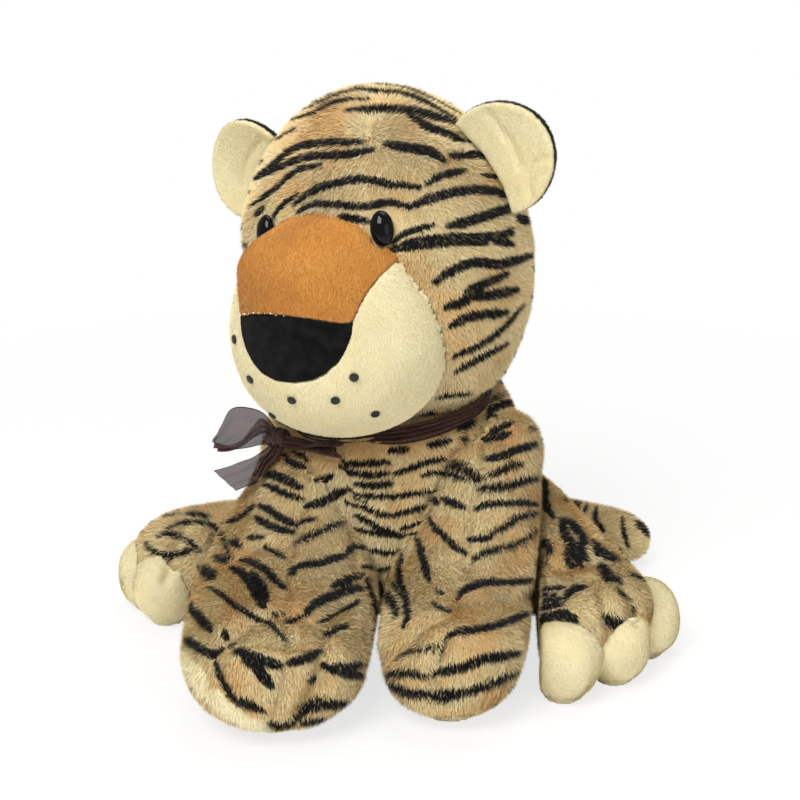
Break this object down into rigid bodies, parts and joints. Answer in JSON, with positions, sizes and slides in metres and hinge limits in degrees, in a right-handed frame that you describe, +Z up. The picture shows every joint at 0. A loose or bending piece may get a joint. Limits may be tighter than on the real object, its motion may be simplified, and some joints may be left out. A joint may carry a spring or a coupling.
{
  "type": "plush toy tiger",
  "caption": "Seated plush tiger with a large turned head, stuffed muzzle, striped plush body, cream toes and an organza bow at the neck.",
  "frame": {"origin": "middle of the flat that the torso sits on", "axes": "+Z up, the chest faces -Y, the toy's left side is +X"},
  "size_m": [0.4655, 0.397, 0.4404],
  "materials": {
    "striped_plush": "short dense plush, tan with black stripes",
    "cream_plush": "short dense cream plush",
    "bridge_plush": "short orange-brown plush",
    "nose_felt": "black felt",
    "black_thread": "black embroidery thread",
    "ear_front_plush": "cream plush, flat pile",
    "ear_back_plush": "black plush",
    "eye_plastic": "black gloss",
    "washer_plastic": "white matt",
    "organza": "sheer dark brown organza"
  },
  "bodies": {
    "torso": {"torso": "striped_plush", "ribbon_band": "organza", "ribbon_end_left": "organza", "ribbon_end_right": "organza", "ribbon_knot": "organza", "ribbon_loop_left": "organza", "ribbon_loop_right": "organza"},
    "head": {"eye_left": "eye_plastic", "eye_right": "eye_plastic", "eye_washer_left": "washer_plastic", "eye_washer_right": "washer_plastic", "head": "striped_plush", "muzzle": "cream_plush", "muzzle_bridge": "bridge_plush", "nose": "nose_felt", "whisker_dot_left_inner": "black_thread", "whisker_dot_left_lower": "black_thread", "whisker_dot_left_upper": "black_thread", "whisker_dot_right_inner": "black_thread", "whisker_dot_right_lower": "black_thread", "whisker_dot_right_side": "black_thread", "whisker_dot_right_upper": "black_thread"},
    "ear_left": {"ear_back_left": "ear_back_plush", "ear_front_left": "ear_front_plush"},
    "ear_right": {"ear_back_right": "ear_back_plush", "ear_front_right": "ear_front_plush"},
    "front_leg_left": {"front_leg_left": "striped_plush", "front_sole_left": "cream_plush"},
    "front_leg_right": {"front_leg_right": "striped_plush", "front_sole_right": "cream_plush"},
    "hind_leg_left": {"hind_leg_left": "striped_plush", "toe_pad_left": "cream_plush"},
    "hind_leg_right": {"hind_leg_right": "striped_plush", "toe_pad_right": "cream_plush"},
    "tail": {"tail": "striped_plush"}
  },
  "joints": [
    {"name": "head_turn", "type": "hinge", "parent": "torso", "child": "head", "pos_m": [-0.008, -0.034, 0.218], "axis": [0, -0.3256, 0.9455], "range_deg": [-15, 15], "stiffness_Nm_per_rad": 3},
    {"name": "ear_left_fold", "type": "hinge", "parent": "head", "child": "ear_left", "pos_m": [0.07635, -0.07024, 0.38764], "axis": [0.6253, -0.2113, -0.7513], "range_deg": [-15, 22.5], "stiffness_Nm_per_rad": 0.3},
    {"name": "ear_right_fold", "type": "hinge", "parent": "head", "child": "ear_right", "pos_m": [-0.1033, 0.02129, 0.3593], "axis": [-0.3314, 0.2762, -0.9022], "range_deg": [-15, 22.5], "stiffness_Nm_per_rad": 0.3},
    {"name": "front_leg_left_lift", "type": "hinge", "parent": "torso", "child": "front_leg_left", "pos_m": [0.084, -0.08, 0.182], "axis": [-1, 0, 0], "range_deg": [0, 22.5], "stiffness_Nm_per_rad": 1},
    {"name": "front_leg_right_lift", "type": "hinge", "parent": "torso", "child": "front_leg_right", "pos_m": [-0.06001, -0.08, 0.15], "axis": [-1, 0, 0], "range_deg": [0, 22.5], "stiffness_Nm_per_rad": 1},
    {"name": "hind_leg_left_swing", "type": "hinge", "parent": "torso", "child": "hind_leg_left", "pos_m": [0.09845, 0.038, 0.07], "axis": [0, 0, 1], "range_deg": [0, 15], "stiffness_Nm_per_rad": 1},
    {"name": "hind_leg_right_swing", "type": "hinge", "parent": "torso", "child": "hind_leg_right", "pos_m": [-0.07885, -0.07, 0.044], "axis": [0, 0, 1], "range_deg": [0, 15], "stiffness_Nm_per_rad": 1},
    {"name": "tail_swing", "type": "hinge", "parent": "torso", "child": "tail", "pos_m": [0, 0.084, 0.048], "axis": [0, 0, 1], "range_deg": [-15, 15], "stiffness_Nm_per_rad": 0.3}
  ]
}
